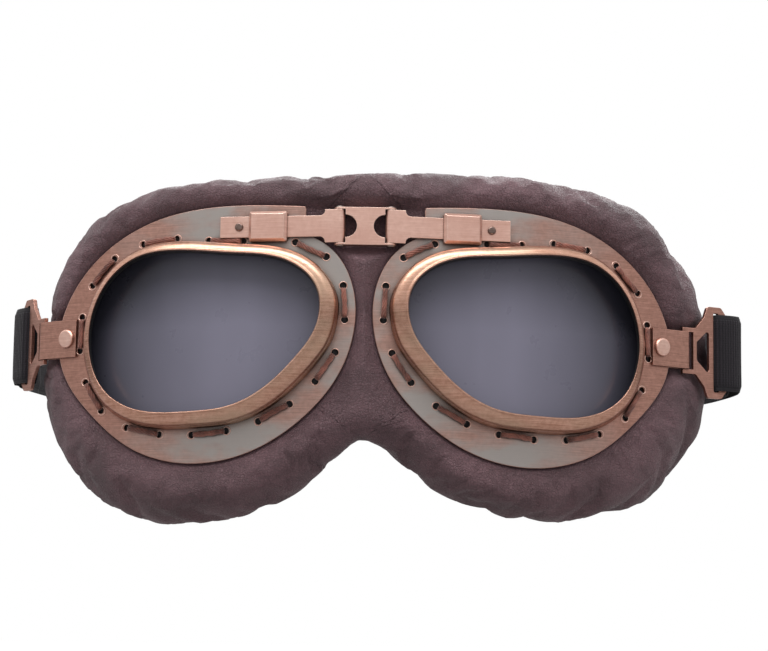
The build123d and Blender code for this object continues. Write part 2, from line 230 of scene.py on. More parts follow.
# ---- materials ------------------------------------------------------------------------------


class Value:
    """A node's output; arithmetic with it adds math nodes."""

    def __init__(self, nodes, socket):
        self.nodes, self.socket = nodes, socket

    def __add__(self, other):
        return self.nodes.calc("ADD", self, other)

    def __sub__(self, other):
        return self.nodes.calc("SUBTRACT", self, other)

    def __rsub__(self, other):
        return self.nodes.calc("SUBTRACT", other, self)

    def __mul__(self, other):
        return self.nodes.calc("MULTIPLY", self, other)

    def __abs__(self):
        return self.nodes.calc("ABSOLUTE", self)

    def wave(self, pitch):
        """Sine of a distance, one turn per pitch."""
        return self.nodes.calc("SINE", self * (2 * math.pi / pitch))

    def between(self, low, high, to_low=0.0, to_high=1.0):
        """The value carried from one range to another, and held at its ends."""
        return self.nodes.put("MapRange", {0: self, 1: low, 2: high, 3: to_low, 4: to_high})

    def grain(self, scale, detail=4.0, roughness=0.55, distortion=0.0):
        """Noise at this place."""
        return self.nodes.put("TexNoise", {"Vector": self, "Scale": scale, "Detail": detail,
                                           "Roughness": roughness, "Distortion": distortion})

    def bump(self, depth, strength, under=None):
        """The normal of this relief, its depth in millimetres, over another normal."""
        inputs = {"Height": self, "Distance": depth * MM, "Strength": strength}
        if under is not None:
            inputs["Normal"] = under
        return self.nodes.put("Bump", inputs)


class Nodes:
    """Short ways to add nodes to one tree."""

    def __init__(self, tree):
        self.tree = tree

    def add(self, kind, inputs, **settings):
        """A node with its inputs linked or set."""
        node = self.tree.nodes.new("ShaderNode" + kind)
        for key, value in settings.items():
            setattr(node, key, value)
        self.feed(node, inputs)
        return node

    def feed(self, node, inputs):
        for key, value in inputs.items():
            if isinstance(value, Value):
                self.tree.links.new(value.socket, node.inputs[key])
            else:
                node.inputs[key].default_value = value

    def put(self, kind, inputs=(), output=0, **settings):
        """One output of a new node."""
        return Value(self, self.add(kind, dict(inputs), **settings).outputs[output])

    def calc(self, operation, a, b=0.0, clamp=False):
        return self.put("Math", {0: a, 1: b}, operation=operation, use_clamp=clamp)

    def mixed(self, share, a, b, blend="MIX"):
        return self.put("Mix", {0: share, 6: a, 7: b}, 2, data_type="RGBA", blend_type=blend)

    def split(self, vector):
        return [Value(self, part) for part in self.add("SeparateXYZ", {0: vector}).outputs]

    def place(self, *stretch):
        """Object coordinates in millimetres, squeezed along each axis."""
        scale = [1000 * share for share in stretch or (1, 1, 1)]
        return self.put("Mapping", {"Vector": self.put("TexCoord", output="Object"), "Scale": scale})

    def rounded(self, radius):
        """The normal with sharp edges rounded off."""
        return self.put("Bevel", {"Radius": radius * MM}, samples=4)

    def surface(self, **inputs):
        """Feeds the material's own shader."""
        self.feed(self.tree.nodes["Principled BSDF"],
                  {key.replace("_", " "): value for key, value in inputs.items()})


def srgb(red, green, blue):
    """A display colour, 0 to 255, as the linear colour a shader takes."""
    channels = [channel / 255 for channel in (red, green, blue)]
    return [c / 12.92 if c <= 0.04045 else ((c + 0.055) / 1.055) ** 2.4 for c in channels] + [1.0]


def shader(name):
    made = bpy.data.materials.new(name)
    made.use_nodes = True
    return made, Nodes(made.node_tree)


BRUSH = (0.10, 0.10, 7.0)    # brushed streaks run along x and y
GRIME_AND_SHADE = srgb(50, 38, 35)
PATINA_FROM, PATINA_TO = 84.0, 52.0      # distance from the symmetry plane, in millimetres


def worn_metal(name, bright, brown, patina, patina_share, gloss):
    """Antiqued metal: brushed streaks, patina in clouds, grime and painted shade in corners, edges
    rubbed bright.
    """
    made, nodes = shader(name)
    spot = nodes.place()
    streak = nodes.place(*BRUSH).grain(1.0, 3.0, 0.6)
    fine = nodes.place(*[3 * share for share in BRUSH]).grain(1.0, 2.0)
    cloud = nodes.place(0.6, 0.6, 1.2).grain(0.07)
    speckle = spot.grain(0.7, 6.0, 0.65)
    rounded = nodes.rounded(0.25)
    facing = nodes.put("NewGeometry", output="Normal")
    turn = nodes.put("VectorMath", {0: rounded, 1: facing}, "Value", operation="DOT_PRODUCT")
    edge = turn.between(0.995, 0.90)
    # grime and painted shade: ambient occlusion darkens corners and crevices
    open_sky = nodes.put("AmbientOcclusion", {"Distance": 3.0 * MM}, "AO", samples=6)
    grime_and_shade = open_sky.between(0.80, 0.30)
    tone = (streak * 0.65 + speckle * 0.35).between(0.36, 0.64)
    colour = nodes.mixed(tone, brown, bright)
    # the patina keeps to the bridge side; the temples are rubbed to copper
    inboard = abs(nodes.split(spot)[0]).between(PATINA_FROM, PATINA_TO)
    aged = cloud.between(0.40, 0.60, 0.25, 1.0) * inboard
    colour = nodes.mixed(aged * patina_share, colour, patina)
    colour = nodes.mixed(grime_and_shade * 0.8, colour, GRIME_AND_SHADE)
    colour = nodes.mixed(edge * 0.7, colour, [min(1, 1.2 * c) for c in bright[:3]] + [1])
    rough = fine * 0.20 + (gloss - 0.10) + grime_and_shade * 0.2
    normal = (streak * 0.5 + fine * 0.5).bump(0.02, 0.5, rounded)
    normal = speckle.bump(0.015, 0.4, normal)
    nodes.surface(Base_Color=colour, Metallic=1.0, Roughness=rough, Normal=normal)
    return made


# painted lit and shaded tones for the one smoked lens
LENS_PAINTED_LIT, LENS_PAINTED_SHADE = srgb(117, 115, 130), srgb(42, 42, 51)


def smoked_lens(name):
    """Smoky smooth lens with painted reflection and shade: darker towards the temple and the brow."""
    made, nodes = shader(name)
    spot = nodes.place()
    x, _, z = nodes.split(spot)
    centre = eye_centre("right") / MM
    outward, upward = abs(x) - centre[0], z - centre[1]
    haze = nodes.place(0.05, 0.05, 0.02).grain(1.0, 2.0)
    # painted shade and reflection: the tone darkens towards the temple, the brow and the nose edge,
    # and stays pale in the middle
    temple = nodes.calc("POWER", outward.between(-4.0, 36.0), 1.3)
    brow = upward.between(2.0, 26.0) * 0.55
    nose = outward.between(-14.0, -36.0) * 0.30
    shade = nodes.calc("ADD", temple + brow + nose, (haze - 0.5) * 0.25, clamp=True)
    smear = spot.grain(0.12, 4.0, 0.6)
    nodes.surface(Base_Color=nodes.mixed(shade, LENS_PAINTED_LIT, LENS_PAINTED_SHADE),
                  Roughness=smear.between(0.3, 0.7, 0.27, 0.30), Coat_Weight=0.1,
                  Coat_Roughness=0.1, Specular_IOR_Level=0.3, Normal=smear.bump(0.01, 0.1))
    return made


HIDE_DARK, HIDE_PALE = srgb(82, 57, 62), srgb(112, 82, 88)
HIDE_PORE, HIDE_CREASE = srgb(42, 29, 31), srgb(40, 28, 30)


def leather(name):
    """Dark mauve-brown leather: pebbled grain, creases and paler rubbed ridges."""
    made, nodes = shader(name)
    spot = nodes.place()
    warp = nodes.put("TexNoise", {"Vector": spot, "Scale": 0.35, "Detail": 3.0}, "Color")
    bent = nodes.mixed(0.35, spot, warp, "ADD")

    def cells(scale, wall):
        edges = nodes.put("TexVoronoi", {"Vector": bent, "Scale": scale}, "Distance",
                          feature="DISTANCE_TO_EDGE")
        return edges.between(0.0, wall)

    def folds(stretch, distortion, width):
        ridge = nodes.place(*stretch).grain(1.0, 5.0, 0.65, distortion)
        return abs(ridge - 0.5).between(0.0, width)

    pebble, fine = cells(1.15, 0.16), cells(2.6, 0.2)
    cloud = spot.grain(0.05, 5.0, 0.6)
    crease = folds((0.10, 0.10, 0.42), 0.6, 0.035)
    slant = folds((0.30, 0.30, 0.16), 0.9, 0.03)
    colour = nodes.mixed(cloud.between(0.35, 0.68), HIDE_DARK, HIDE_PALE)
    colour = nodes.mixed((1.0 - pebble) * 0.30, colour, HIDE_PORE)
    colour = nodes.mixed((1.0 - crease) * 0.14, colour, HIDE_CREASE)
    normal = None
    for relief, depth, strength in ((cloud, 0.8, 0.5), (crease, 0.10, 0.6), (slant, 0.07, 0.5),
                                    (pebble, 0.17, 0.8), (fine, 0.08, 0.7)):
        normal = relief.bump(depth, strength, normal)
    nodes.surface(Base_Color=colour, Roughness=(pebble * fine).between(0.0, 1.0, 0.60, 0.38),
                  Specular_IOR_Level=0.45, Sheen_Weight=0.06, Sheen_Roughness=0.5, Normal=normal)
    return made


WEAVE_PITCH = 0.9            # of the lining, in millimetres


def lining_cloth(name):
    """Dark napped lining with a fine plain weave."""
    made, nodes = shader(name)
    spot = nodes.place()
    x, _, z = nodes.split(spot)
    weave = x.wave(WEAVE_PITCH) * z.wave(WEAVE_PITCH)
    nap = spot.grain(1.6, 5.0, 0.7)
    cloud = spot.grain(0.08)
    colour = nodes.mixed(cloud.between(0.35, 0.65), srgb(30, 24, 25), srgb(44, 36, 36))
    colour = nodes.mixed(nap * 0.5, colour, srgb(56, 46, 46))
    normal = cloud.bump(1.2, 0.5, nap.bump(0.25, 0.6, weave.bump(0.12, 0.7)))
    nodes.surface(Base_Color=colour, Roughness=0.95, Sheen_Weight=0.15, Sheen_Roughness=0.6,
                  Specular_IOR_Level=0.15, Normal=normal)
    return made


RIB_PITCH = 0.95             # crosswise ribs of the elastic, in millimetres
WARP_PITCH = 0.8
SELVEDGE = (10.6, 11.2)      # from the middle of the strap


def ribbed_elastic(name):
    """Black elastic webbing: cords across it, fine yarns along it, smooth selvedges."""
    made, nodes = shader(name)
    along, across, _ = nodes.split(nodes.put("UVMap", uv_map="along"))
    wobble = nodes.place().grain(0.5, 2.0)
    cord = (along + wobble * 0.25).wave(RIB_PITCH).between(-1.0, 0.7)
    yarn = across.wave(WARP_PITCH).between(-1.0, 1.0)
    relief = cord * (1.0 - abs(across).between(*SELVEDGE)) + yarn * 0.25
    fuzz = nodes.place().grain(3.0, 4.0, 0.7)
    colour = nodes.mixed(relief, srgb(9, 8, 10), srgb(33, 29, 34))
    colour = nodes.mixed(fuzz * 0.35, colour, srgb(46, 41, 47))
    normal = fuzz.bump(0.06, 0.6, relief.bump(0.22, 0.9))
    nodes.surface(Base_Color=colour, Roughness=0.82, Sheen_Weight=0.08, Sheen_Roughness=0.4,
                  Specular_IOR_Level=0.25, Normal=normal)
    return made


def waxed_thread(name, dark, light):
    made, nodes = shader(name)
    spot = nodes.place()
    fibre = spot.grain(5.0, 4.0, 0.7)
    colour = nodes.mixed(spot.grain(0.25, 3.0).between(0.3, 0.7), dark, light)
    nodes.surface(Base_Color=nodes.mixed(fibre * 0.4, colour, dark), Roughness=0.6,
                  Sheen_Weight=0.3, Specular_IOR_Level=0.35, Normal=fibre.bump(0.08, 0.8))
    return made


def moulded(name, colour, rough, pit_scale, pit_depth):
    """Rubber or plastic with a fine moulded surface and faint scuffs."""
    made, nodes = shader(name)
    spot = nodes.place()
    pits = spot.grain(pit_scale, 5.0, 0.65)
    scuff = spot.grain(0.2).between(0.5, 0.75)
    tone = nodes.mixed(pits * 0.4, srgb(*colour), srgb(*[1.5 * c for c in colour]))
    nodes.surface(Base_Color=tone, Roughness=scuff * 0.15 + rough,
                  Normal=pits.bump(pit_depth, 0.6, nodes.rounded(0.3)))
    return made


COPPER = srgb(224, 176, 156)
COPPER_BROWN = srgb(164, 114, 92)
RUBBED = srgb(250, 212, 198)
RUBBED_BROWN = srgb(222, 176, 158)
FLANGE_COPPER = srgb(210, 160, 144)
FLANGE_BROWN = srgb(158, 116, 102)
PATINA = srgb(178, 174, 170)
BEZEL_PATINA = srgb(190, 164, 140)

antique_copper = worn_metal("antique_copper", FLANGE_COPPER, FLANGE_BROWN, PATINA, 0.9, 0.38)
bezel_copper = worn_metal("bezel_copper", COPPER, COPPER_BROWN, BEZEL_PATINA, 0.6, 0.30)
bright_copper = worn_metal("bright_copper", RUBBED, RUBBED_BROWN, FLANGE_COPPER, 0.5, 0.38)
STEEL, STEEL_BROWN, STEEL_DULL = srgb(205, 190, 182), srgb(120, 104, 98), srgb(70, 66, 64)
STUD, STUD_BROWN, STUD_DULL = srgb(176, 150, 140), srgb(96, 80, 74), srgb(40, 38, 37)
pin_steel = worn_metal("pin_steel", STEEL, STEEL_BROWN, STEEL_DULL, 0.4, 0.3)
dark_stud = worn_metal("dark_stud", STUD, STUD_BROWN, STUD_DULL, 0.3, 0.3)
lens_smoke = smoked_lens("smoked_lens")
mask_hide = leather("mask_leather")
lining = lining_cloth("lining_fabric")
elastic = ribbed_elastic("strap_elastic")
lace = waxed_thread("lace_thread", srgb(84, 50, 42), srgb(164, 104, 88))
dark_thread = waxed_thread("seam_thread", srgb(26, 22, 24), srgb(62, 54, 56))
gasket = moulded("gasket_rubber", (30, 28, 30), 0.6, 1.5, 0.05)
slider_black = moulded("slider_black", (30, 29, 32), 0.38, 2.5, 0.03)

NODE_FINISH = {
    "bridge_link": bright_copper, "strap_slider": slider_black,
    "bridge_pin": pin_steel, "bridge_strip": bright_copper, "stop_stud": dark_stud,
    "frame_plate": antique_copper, "lens": lens_smoke, "lens_gasket": gasket,
    "keeper": bright_copper, "strap_tab": antique_copper, "tab_rivet": bright_copper,
    "rivet_washer": pin_steel, "buckle": antique_copper,
}


def finish_nodes():
    """Each CAD solid that stays gets its own material in place of the plain one."""
    for name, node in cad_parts.items():
        finish = NODE_FINISH.get(name) or NODE_FINISH.get(name.split("_", 1)[1])
        if finish:
            for place in node.material_slots:
                place.link = "OBJECT"
                place.material = finish

# ---- bezels, rolled rims and eyelets ---------------------------------------------------------

RING_STEPS = 480
ring_angles = np.linspace(-math.pi, math.pi, RING_STEPS, endpoint=False)
SLOW_WAVES = 40              # waves kept round a measured outline
# share of the way from the lens opening to the outer wall, and height over the plate in mm
BEZEL_PROFILE = [
    (0.00, 1.3), (0.00, 4.0), (0.00, 7.2), (0.02, 7.8), (0.06, 8.15), (0.11, 8.2), (0.15, 8.0),
    (0.19, 7.75), (0.30, 7.65), (0.48, 7.45), (0.66, 7.05), (0.80, 6.55), (0.90, 6.0), (0.97, 5.3),
    (1.0, 4.6), (1.0, 3.9), (0.975, 3.6), (0.94, 3.3), (0.945, 3.0), (0.985, 2.8), (1.03, 2.55),
    (1.04, 2.2), (1.02, 1.9), (1.0, 1.5), (1.02, 0.9), (1.08, 0.4), (1.10, 0.06), (0.72, 0.04),
    (0.45, 0.04), (0.45, 0.7), (0.42, 1.25),
]

# the inner wall, painted as shade in the black gasket rubber, and the turned-in rows behind it
DARK_BANDS = {0, 1, len(BEZEL_PROFILE) - 1, len(BEZEL_PROFILE) - 2}


@functools.lru_cache
def outline_radii(node, pick, keep=SLOW_WAVES):
    """A node's outline round its eye centre: np.min for the opening, np.max for the outside."""
    centre = eye_centre(node.split("_")[0])
    return smooth_loop(cast(node_segments(node), centre, ring_angles, pick), keep)


def bezel_ring(side):
    """Spun bezel: rolled front lip, sloped face, and a bead above the plate."""
    centre = eye_centre(side)
    inner = outline_radii(f"{side}_bezel", np.min)
    outer = outline_radii(f"{side}_bezel", np.max)
    rows = [on_wrap(polar(centre, ring_angles, inner + (outer - inner) * share), height * MM)
            for share, height in BEZEL_PROFILE]
    faces = grid_faces(len(rows), RING_STEPS, closed_rows=True)
    ring = new_piece(f"{side}_bezel_ring", np.stack(rows), faces, bezel_copper, closed=True)
    # painted recess shade: the dark bands take the black gasket rubber in place of copper
    ring.data.materials.append(gasket)
    for polygon in ring.data.polygons:
        if polygon.index // RING_STEPS in DARK_BANDS:
            polygon.material_index = 1
    ring.modifiers.new("smooth", "SUBSURF").render_levels = 1
    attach(ring, f"{side}_frame")
    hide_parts(f"{side}_bezel")


RIM_RADIUS = 0.42 * MM
RIM_INSET = 0.25 * MM
RIM_DROP = 0.45 * MM          # its middle below the plate's front


def plate_radii(side):
    """The frame plate's outline with its lug kept sharp."""
    return outline_radii(f"{side}_frame_plate", np.max, RING_STEPS // 2)


def plate_rim(side):
    """Bead rolled along the frame plate's outer edge."""
    edge = polar(eye_centre(side), ring_angles, plate_radii(side) - RIM_INSET)
    return closed_tube(on_wrap(edge, -RIM_DROP), RIM_RADIUS, 8)


def stitch_ends(side):
    """Front-view places of the two holes at each run of lacing, one pair per thread."""
    points = node_points(f"{side}_lacing")
    _, same = np.unique(np.round(points / (0.001 * MM)), axis=0, return_inverse=True)
    owner = same.reshape(-1)
    links = owner[mesh_edges(f"{side}_lacing")]
    changed = True
    label = np.arange(owner.max() + 1)
    while changed:
        low = np.minimum(label[links[:, 0]], label[links[:, 1]])
        before = label.copy()
        np.minimum.at(label, links[:, 0], low)
        np.minimum.at(label, links[:, 1], low)
        changed = not np.array_equal(before, label)
    pairs = []
    for tag in np.unique(label):
        flat = points[label[owner] == tag][:, FRONT_VIEW]
        middle = (flat.min(axis=0) + flat.max(axis=0)) / 2
        axis = np.linalg.svd(flat - flat.mean(axis=0), full_matrices=False)[2][0]
        reach = (flat - middle) @ axis
        pairs.append((middle + axis * (reach.max() - THREAD_RADIUS),
                      middle + axis * (reach.min() + THREAD_RADIUS)))
    return pairs


THREAD_RADIUS = 0.7 * MM
STRANDS = 5
STRAND_RADIUS = 0.34 * MM
STRAND_SPREAD = 0.42 * MM
STRAND_FLATTEN = (1.25, 0.6)  # across the thread, and away from the plate
TWIST_LENGTH = 7.5 * MM
THREAD_DEPTH = 2.4 * MM       # of its ends in the holes
THREAD_RISE = 3.25 * MM
THREAD_SWAY = 0.25 * MM
EYELET_RADIUS = 1.24 * MM
EYELET_WIRE = 0.15 * MM
HOLE_SHOW = 0.95 * MM         # dark part of the hole beyond the thread


def thread_run(start, end, seed):
    """Loosely twisted strands that come up one hole, lie over the plate and go down the next."""
    share = np.linspace(0, 1, 34)
    slide = np.clip((share - 0.10) / 0.80, 0, 1)[:, None]
    length = np.linalg.norm(end - start)
    along = (end - start) / length
    sway = np.array([-along[1], along[0]]) * THREAD_SWAY * math.sin(seed * 2.1)
    flat = start + along * (HOLE_SHOW + (length - 2 * HOLE_SHOW) * slide)
    flat += sway * np.sin(math.pi * slide)
    rise = np.clip(np.minimum(share, 1 - share) / 0.16, 0, 1)
    core = on_wrap(flat, THREAD_RISE * np.sin(rise * math.pi / 2) - THREAD_DEPTH)
    out = wrap_normal(flat)
    side_way = unit(np.cross(out, (along[0], 0, along[1])))
    parts = []
    for strand in range(STRANDS):
        turn = 2 * math.pi * (strand / STRANDS + share * length / TWIST_LENGTH) + seed
        loose = 1 + 0.18 * math.sin(seed + strand * 2.3)
        wide, high = STRAND_FLATTEN
        offset = side_way * (np.cos(turn) * wide * loose)[:, None]
        offset += out * (np.sin(turn) * high)[:, None]
        parts.append(tube(core + offset * STRAND_SPREAD, STRAND_RADIUS, 6, wrap_normal(flat[:1])[0]))
    return joined(parts)


def eyelet(spot):
    """Metal pushed up round a punched hole."""
    return closed_tube(on_wrap(circle(spot, EYELET_RADIUS, 20), 0.0), EYELET_WIRE, 6)


# radius, and height over the plate, in mm
HOLE_SHADOW_PROFILE = [(1.09, -0.35), (1.0, -1.0), (0.5, -1.12), (0.05, -1.15)]


def hole_shadow_disc(spot):
    """Painted shadow: a near-black disc for the punched leather seen at the bottom of a lacing hole.
    """
    sides, rings = 16, len(HOLE_SHADOW_PROFILE)
    points = np.concatenate([on_wrap(circle(spot, radius * MM, sides), height * MM)
                             for radius, height in HOLE_SHADOW_PROFILE])
    bottom = tuple(range((rings - 1) * sides, rings * sides))
    return points, grid_faces(rings, sides) + [bottom]


def lace_frame(side):
    pairs = stitch_ends(side)
    spots = [spot for pair in pairs for spot in pair]
    rims = [plate_rim(side)] + [eyelet(spot) for spot in spots]
    runs = [thread_run(start, end, seed) for seed, (start, end) in enumerate(pairs)]
    for name, shapes, finish, slot in (
            # painted shadow: the hole discs take the near-black gasket rubber, not leather
            ("lace_hole_shadows", [hole_shadow_disc(spot) for spot in spots], gasket, "mask_leather"),
            ("rolled_rims", rims, bright_copper, "antique_copper"),
            ("lace_threads", runs, lace, "lace_thread")):
        piece = new_piece(f"{side}_{name}", *joined(shapes), finish, closed=name != "lace_hole_shadows")
        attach(piece, f"{side}_frame")
    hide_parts(f"{side}_lacing")

# ---- padded leather mask ---------------------------------------------------------------------

UNDER_PLATE = -1.5 * MM      # leather height under the plates
LINK_DROP = 0.5 * MM         # deeper behind the bridge link
TAB_DROP = 1.5 * MM          # and behind the strap tab
PUFF = 4.6 * MM
PUFF_REACH = 5.0 * MM
ROLL_WIDTH = 15 * MM         # the front rounds off over this much near the outline
SILHOUETTE = -12.5 * MM
SEAM = -20 * MM
SEAM_INSET = 4.0 * MM
BACK = -22.5 * MM
CUSHION_RISE = 9 * MM        # the lining pad rises over this much inside the seam
EYE_REACH = 6 * MM           # and dips over this much towards the eye
EYE_DIP = 3.5 * MM
NOSE_WIDTH = 12 * MM         # the pad thins over the nose
NOSE_LIFT = np.array([6.5, 8.5, 9.5]) * MM       # of the silhouette, the seam and the back
OUTLINE_COLUMNS = 250
NOSE_COLUMNS = 70
FRONT_ROWS, ROLL_ROWS, RIM_ROWS, BACK_ROWS, TUNNEL_ROWS = 22, 14, 8, 20, 7
NOSE_ROLL = 9 * MM
LEAST_ROLL = 4.5 * MM
ROLL_OF_ROOM = 0.85          # of the leather that shows outside the plate
NOSE_EDGE_SHARE = 0.35       # of the way to the eye, where the nose column has no rim
NOSE_SEAM_SHARE = 0.06
END_COLUMNS = 20             # the outline eases into the nose over these


def mask_ends():
    """Heights of the mask's outline on the symmetry plane."""
    low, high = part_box("mask_nose_piece")
    return high.z + 1.5 * MM, low.z - 1.5 * MM


def travelled(path):
    """Distance along a path to each of its points."""
    return np.append(0, np.cumsum(np.linalg.norm(np.diff(path, axis=0), axis=1)))


def even_path(path, count):
    length = travelled(path)
    wanted = np.linspace(0, length[-1], count)
    return np.stack([np.interp(wanted, length, values) for values in path.T], axis=-1)


def softened(path, width):
    """Gaussian-smoothed path whose ends stay where they are."""
    reach = int(3 * width)
    head, tail = 2 * path[0] - path[reach:0:-1], 2 * path[-1] - path[-2:-reach - 2:-1]
    head[:, 1], tail[:, 1] = path[reach:0:-1, 1], path[-2:-reach - 2:-1, 1]
    padded = np.concatenate([head, path, tail])
    weights = np.exp(-0.5 * (np.arange(-reach, reach + 1) / width) ** 2)
    weights /= weights.sum()
    return np.stack([np.convolve(padded[:, axis], weights, "valid") for axis in range(2)], axis=-1)


def mask_outline(side, sign):
    """From the top centre round the temple to the nose arch, on the right-hand side's axes."""
    top, bottom = mask_ends()
    starts, ends = node_segments(f"{side}_mask_cover")
    mirrored = np.array([sign, 1])
    centre = eye_centre("right")
    first = math.atan2(top - centre[1], -centre[0])
    last = math.atan2(bottom - centre[1], -centre[0])
    angles = np.linspace(first, last, 700)
    found = polar(centre, angles, cast((starts * mirrored, ends * mirrored), centre, angles, np.max))
    kept = found[found[:, 0] > 12 * MM]
    path = np.concatenate([[[0, top]], kept, [[0, bottom]]])
    path = softened(even_path(path, 320), 3)
    fade = np.exp(-(np.arange(len(path)) / 12) ** 2)
    path[:, 1] += (top - path[0, 1]) * fade + (bottom - path[-1, 1]) * fade[::-1]
    path[0, 0] = path[-1, 0] = 0
    return even_path(path, OUTLINE_COLUMNS)


def box_distance(flat, low, high):
    return np.hypot(*[np.maximum(np.maximum(low[axis] - flat[:, axis], flat[:, axis] - high[axis]), 0)
                      for axis in range(2)])


def outside_metal(flat):
    """Distance from the plates, the bridge and the strap tabs, in the front view."""
    even = np.stack([np.abs(flat[:, 0]), flat[:, 1]], axis=-1)
    centre = eye_centre("right")
    radii = plate_radii("right")
    loop = polar(centre, ring_angles, radii)
    away = even - centre
    reach = np.interp(np.arctan2(away[:, 1], away[:, 0]), ring_angles, radii, period=2 * math.pi)
    plates = np.where(np.hypot(away[:, 0], away[:, 1]) < reach, 0, segment_distance(even, loop))
    link = box_distance(even, (0, -6.2 * MM), (20 * MM, 6.2 * MM))
    tab_low, tab_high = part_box("right_strap_tab")
    tab = box_distance(even, (tab_low.x, tab_low.z), (tab_high.x + 2 * MM, tab_high.z))
    return plates, link, tab


def bell(distance, width):
    return np.exp(-(distance / width) ** 2)


def quarter_round(share):
    return np.sqrt(1 - (1 - np.clip(share, 0, 1)) ** 2)


def front_height(flat, outline_gap, roll):
    """Under the metal the leather lies flat; beside it the pad puffs up, and rounds off outside."""
    plates, link, tab = outside_metal(flat)
    nearest = np.minimum.reduce((plates, link, tab))
    base = UNDER_PLATE - LINK_DROP * bell(link, 5 * MM) - TAB_DROP * bell(tab, 3 * MM)
    top = base + PUFF * (1 - np.exp(-nearest / PUFF_REACH))
    edge = SILHOUETTE + NOSE_LIFT[0] * bell(flat[:, 0], NOSE_WIDTH)
    return edge + (top - edge) * quarter_round(outline_gap / roll)


def back_height(flat, outline_gap, opening_gap):
    """The rim turns in to the seam, and the lining pad rises behind it and dips at the eye."""
    edge, seam, flat_back = [level + lift * bell(flat[:, 0], NOSE_WIDTH)
                             for level, lift in zip((SILHOUETTE, SEAM, BACK), NOSE_LIFT)]
    rim = edge + (seam - edge) * quarter_round(outline_gap / SEAM_INSET)
    beyond = np.clip((outline_gap - SEAM_INSET) / CUSHION_RISE, 0, 1)
    height = rim + (flat_back - seam) * np.sin(beyond * math.pi / 2)
    near_eye = np.clip(1 - opening_gap / EYE_REACH, 0, 1)
    return height + EYE_DIP * near_eye ** 2.5


def ripples(points, scale, seed):
    """Smooth noise at each point, from -1 to 1."""
    shift = Vector((seed * 17.3, seed * 5.1, seed * 9.7))
    return np.array([noise.noise(Vector(point) * scale + shift) for point in points])


def mask_side(side, sign, outlines):
    """Point rows from the eye opening over the front, round the edge and back over the lining."""
    outline = outlines[side]
    other = outlines["left" if side == "right" else "right"] * [-1, 1]
    whole_loop = np.concatenate([outline, other[::-1]])
    top, bottom = mask_ends()
    rise = (1 - np.cos(np.linspace(0, math.pi, NOSE_COLUMNS + 2)[1:-1])) / 2
    nose = np.stack([np.zeros(NOSE_COLUMNS), bottom + (top - bottom) * rise], axis=-1)
    outer = np.concatenate([outline, nose])
    is_nose = np.arange(len(outer)) >= OUTLINE_COLUMNS
    centre = eye_centre("right")
    away = outer - centre
    angles = np.arctan2(away[:, 1], away[:, 0])
    reach = np.linalg.norm(away, axis=1)
    opening = outline_radii("right_mask_cover", np.min)
    inner = np.interp(angles, ring_angles, opening, period=2 * math.pi)
    room = reach - np.interp(angles, ring_angles, plate_radii("right"), period=2 * math.pi)
    roll = np.where(is_nose, NOSE_ROLL, np.clip(ROLL_OF_ROOM * room, LEAST_ROLL, ROLL_WIDTH))
    place = np.arange(len(outer))
    near_end = np.clip(np.minimum(place, OUTLINE_COLUMNS - 1 - place) / END_COLUMNS, 0, 1)
    roll = NOSE_ROLL + (np.maximum(smooth_loop(roll, 24), LEAST_ROLL) - NOSE_ROLL) * near_end

    def shaped(radii, heights_of):
        flat = polar(centre, angles, np.array(radii))
        gap = segment_distance(flat.reshape(-1, 2), whole_loop)
        return flat, heights_of(flat.reshape(-1, 2), gap).reshape(flat.shape[:2])

    stop = reach - np.where(is_nose, NOSE_EDGE_SHARE * (reach - inner), roll)
    front = [inner + (stop - inner) * share
             for share in np.linspace(0, 1, FRONT_ROWS, endpoint=False)]
    for turn in np.linspace(0, math.pi / 2, ROLL_ROWS):
        share = np.where(is_nose, turn / (math.pi / 2), math.sin(turn))
        front.append(stop + (reach - stop) * share)
    every_roll = np.tile(roll, len(front))
    front_flat, front_heights = shaped(front, lambda flat, gap: front_height(flat, gap, every_roll))
    inset = reach - np.where(is_nose, NOSE_SEAM_SHARE * (reach - inner), SEAM_INSET)
    back = [reach - (reach - inset) * (1 - math.cos(turn))
            for turn in np.linspace(0, math.pi / 2, RIM_ROWS)]
    back += [inset + (inner - inset) * share for share in np.linspace(0, 1, BACK_ROWS + 1)[1:]]
    from_eye = (np.array(back) - inner).reshape(-1)
    back_flat, back_heights = shaped(back, lambda flat, gap: back_height(flat, gap, from_eye))
    share = np.linspace(0, 1, TUNNEL_ROWS + 2)[1:-1, None]
    tunnel_heights = back_heights[-1] + (front_heights[0] - back_heights[-1]) * share
    tunnel_flat = np.repeat(front_flat[:1], TUNNEL_ROWS, axis=0)
    flat = np.concatenate([front_flat, back_flat, tunnel_flat])
    heights = np.concatenate([front_heights, back_heights, tunnel_heights])
    return on_wrap(flat * [sign, 1], heights)


def mask_faces(rows, columns):
    """Leather and lining quads of one side; the two rows at the silhouette are the same."""
    leather_faces, lining_faces = [], []
    rim = FRONT_ROWS + ROLL_ROWS - 1
    for number, quad in enumerate(grid_faces(rows, columns, closed_rows=True)):
        row = number // columns
        if row != rim:
            hide = row < rim + RIM_ROWS or row == rows - 1
            (leather_faces if hide else lining_faces).append(quad)
    return leather_faces, lining_faces


def welded(points, groups):
    """Merges points that coincide; returns points and regrouped faces without doubles."""
    keys = np.round(points / (0.02 * MM)).astype(int)
    _, first, inverse = np.unique(keys, axis=0, return_index=True, return_inverse=True)
    inverse = inverse.reshape(-1)
    out = []
    for faces in groups:
        kept = []
        for face in faces:
            ring = [int(inverse[index]) for index in face]
            ring = [index for place, index in enumerate(ring) if index != ring[place - 1]]
            if len(set(ring)) >= 3:
                kept.append(tuple(ring))
        out.append(kept)
    return points[first], out


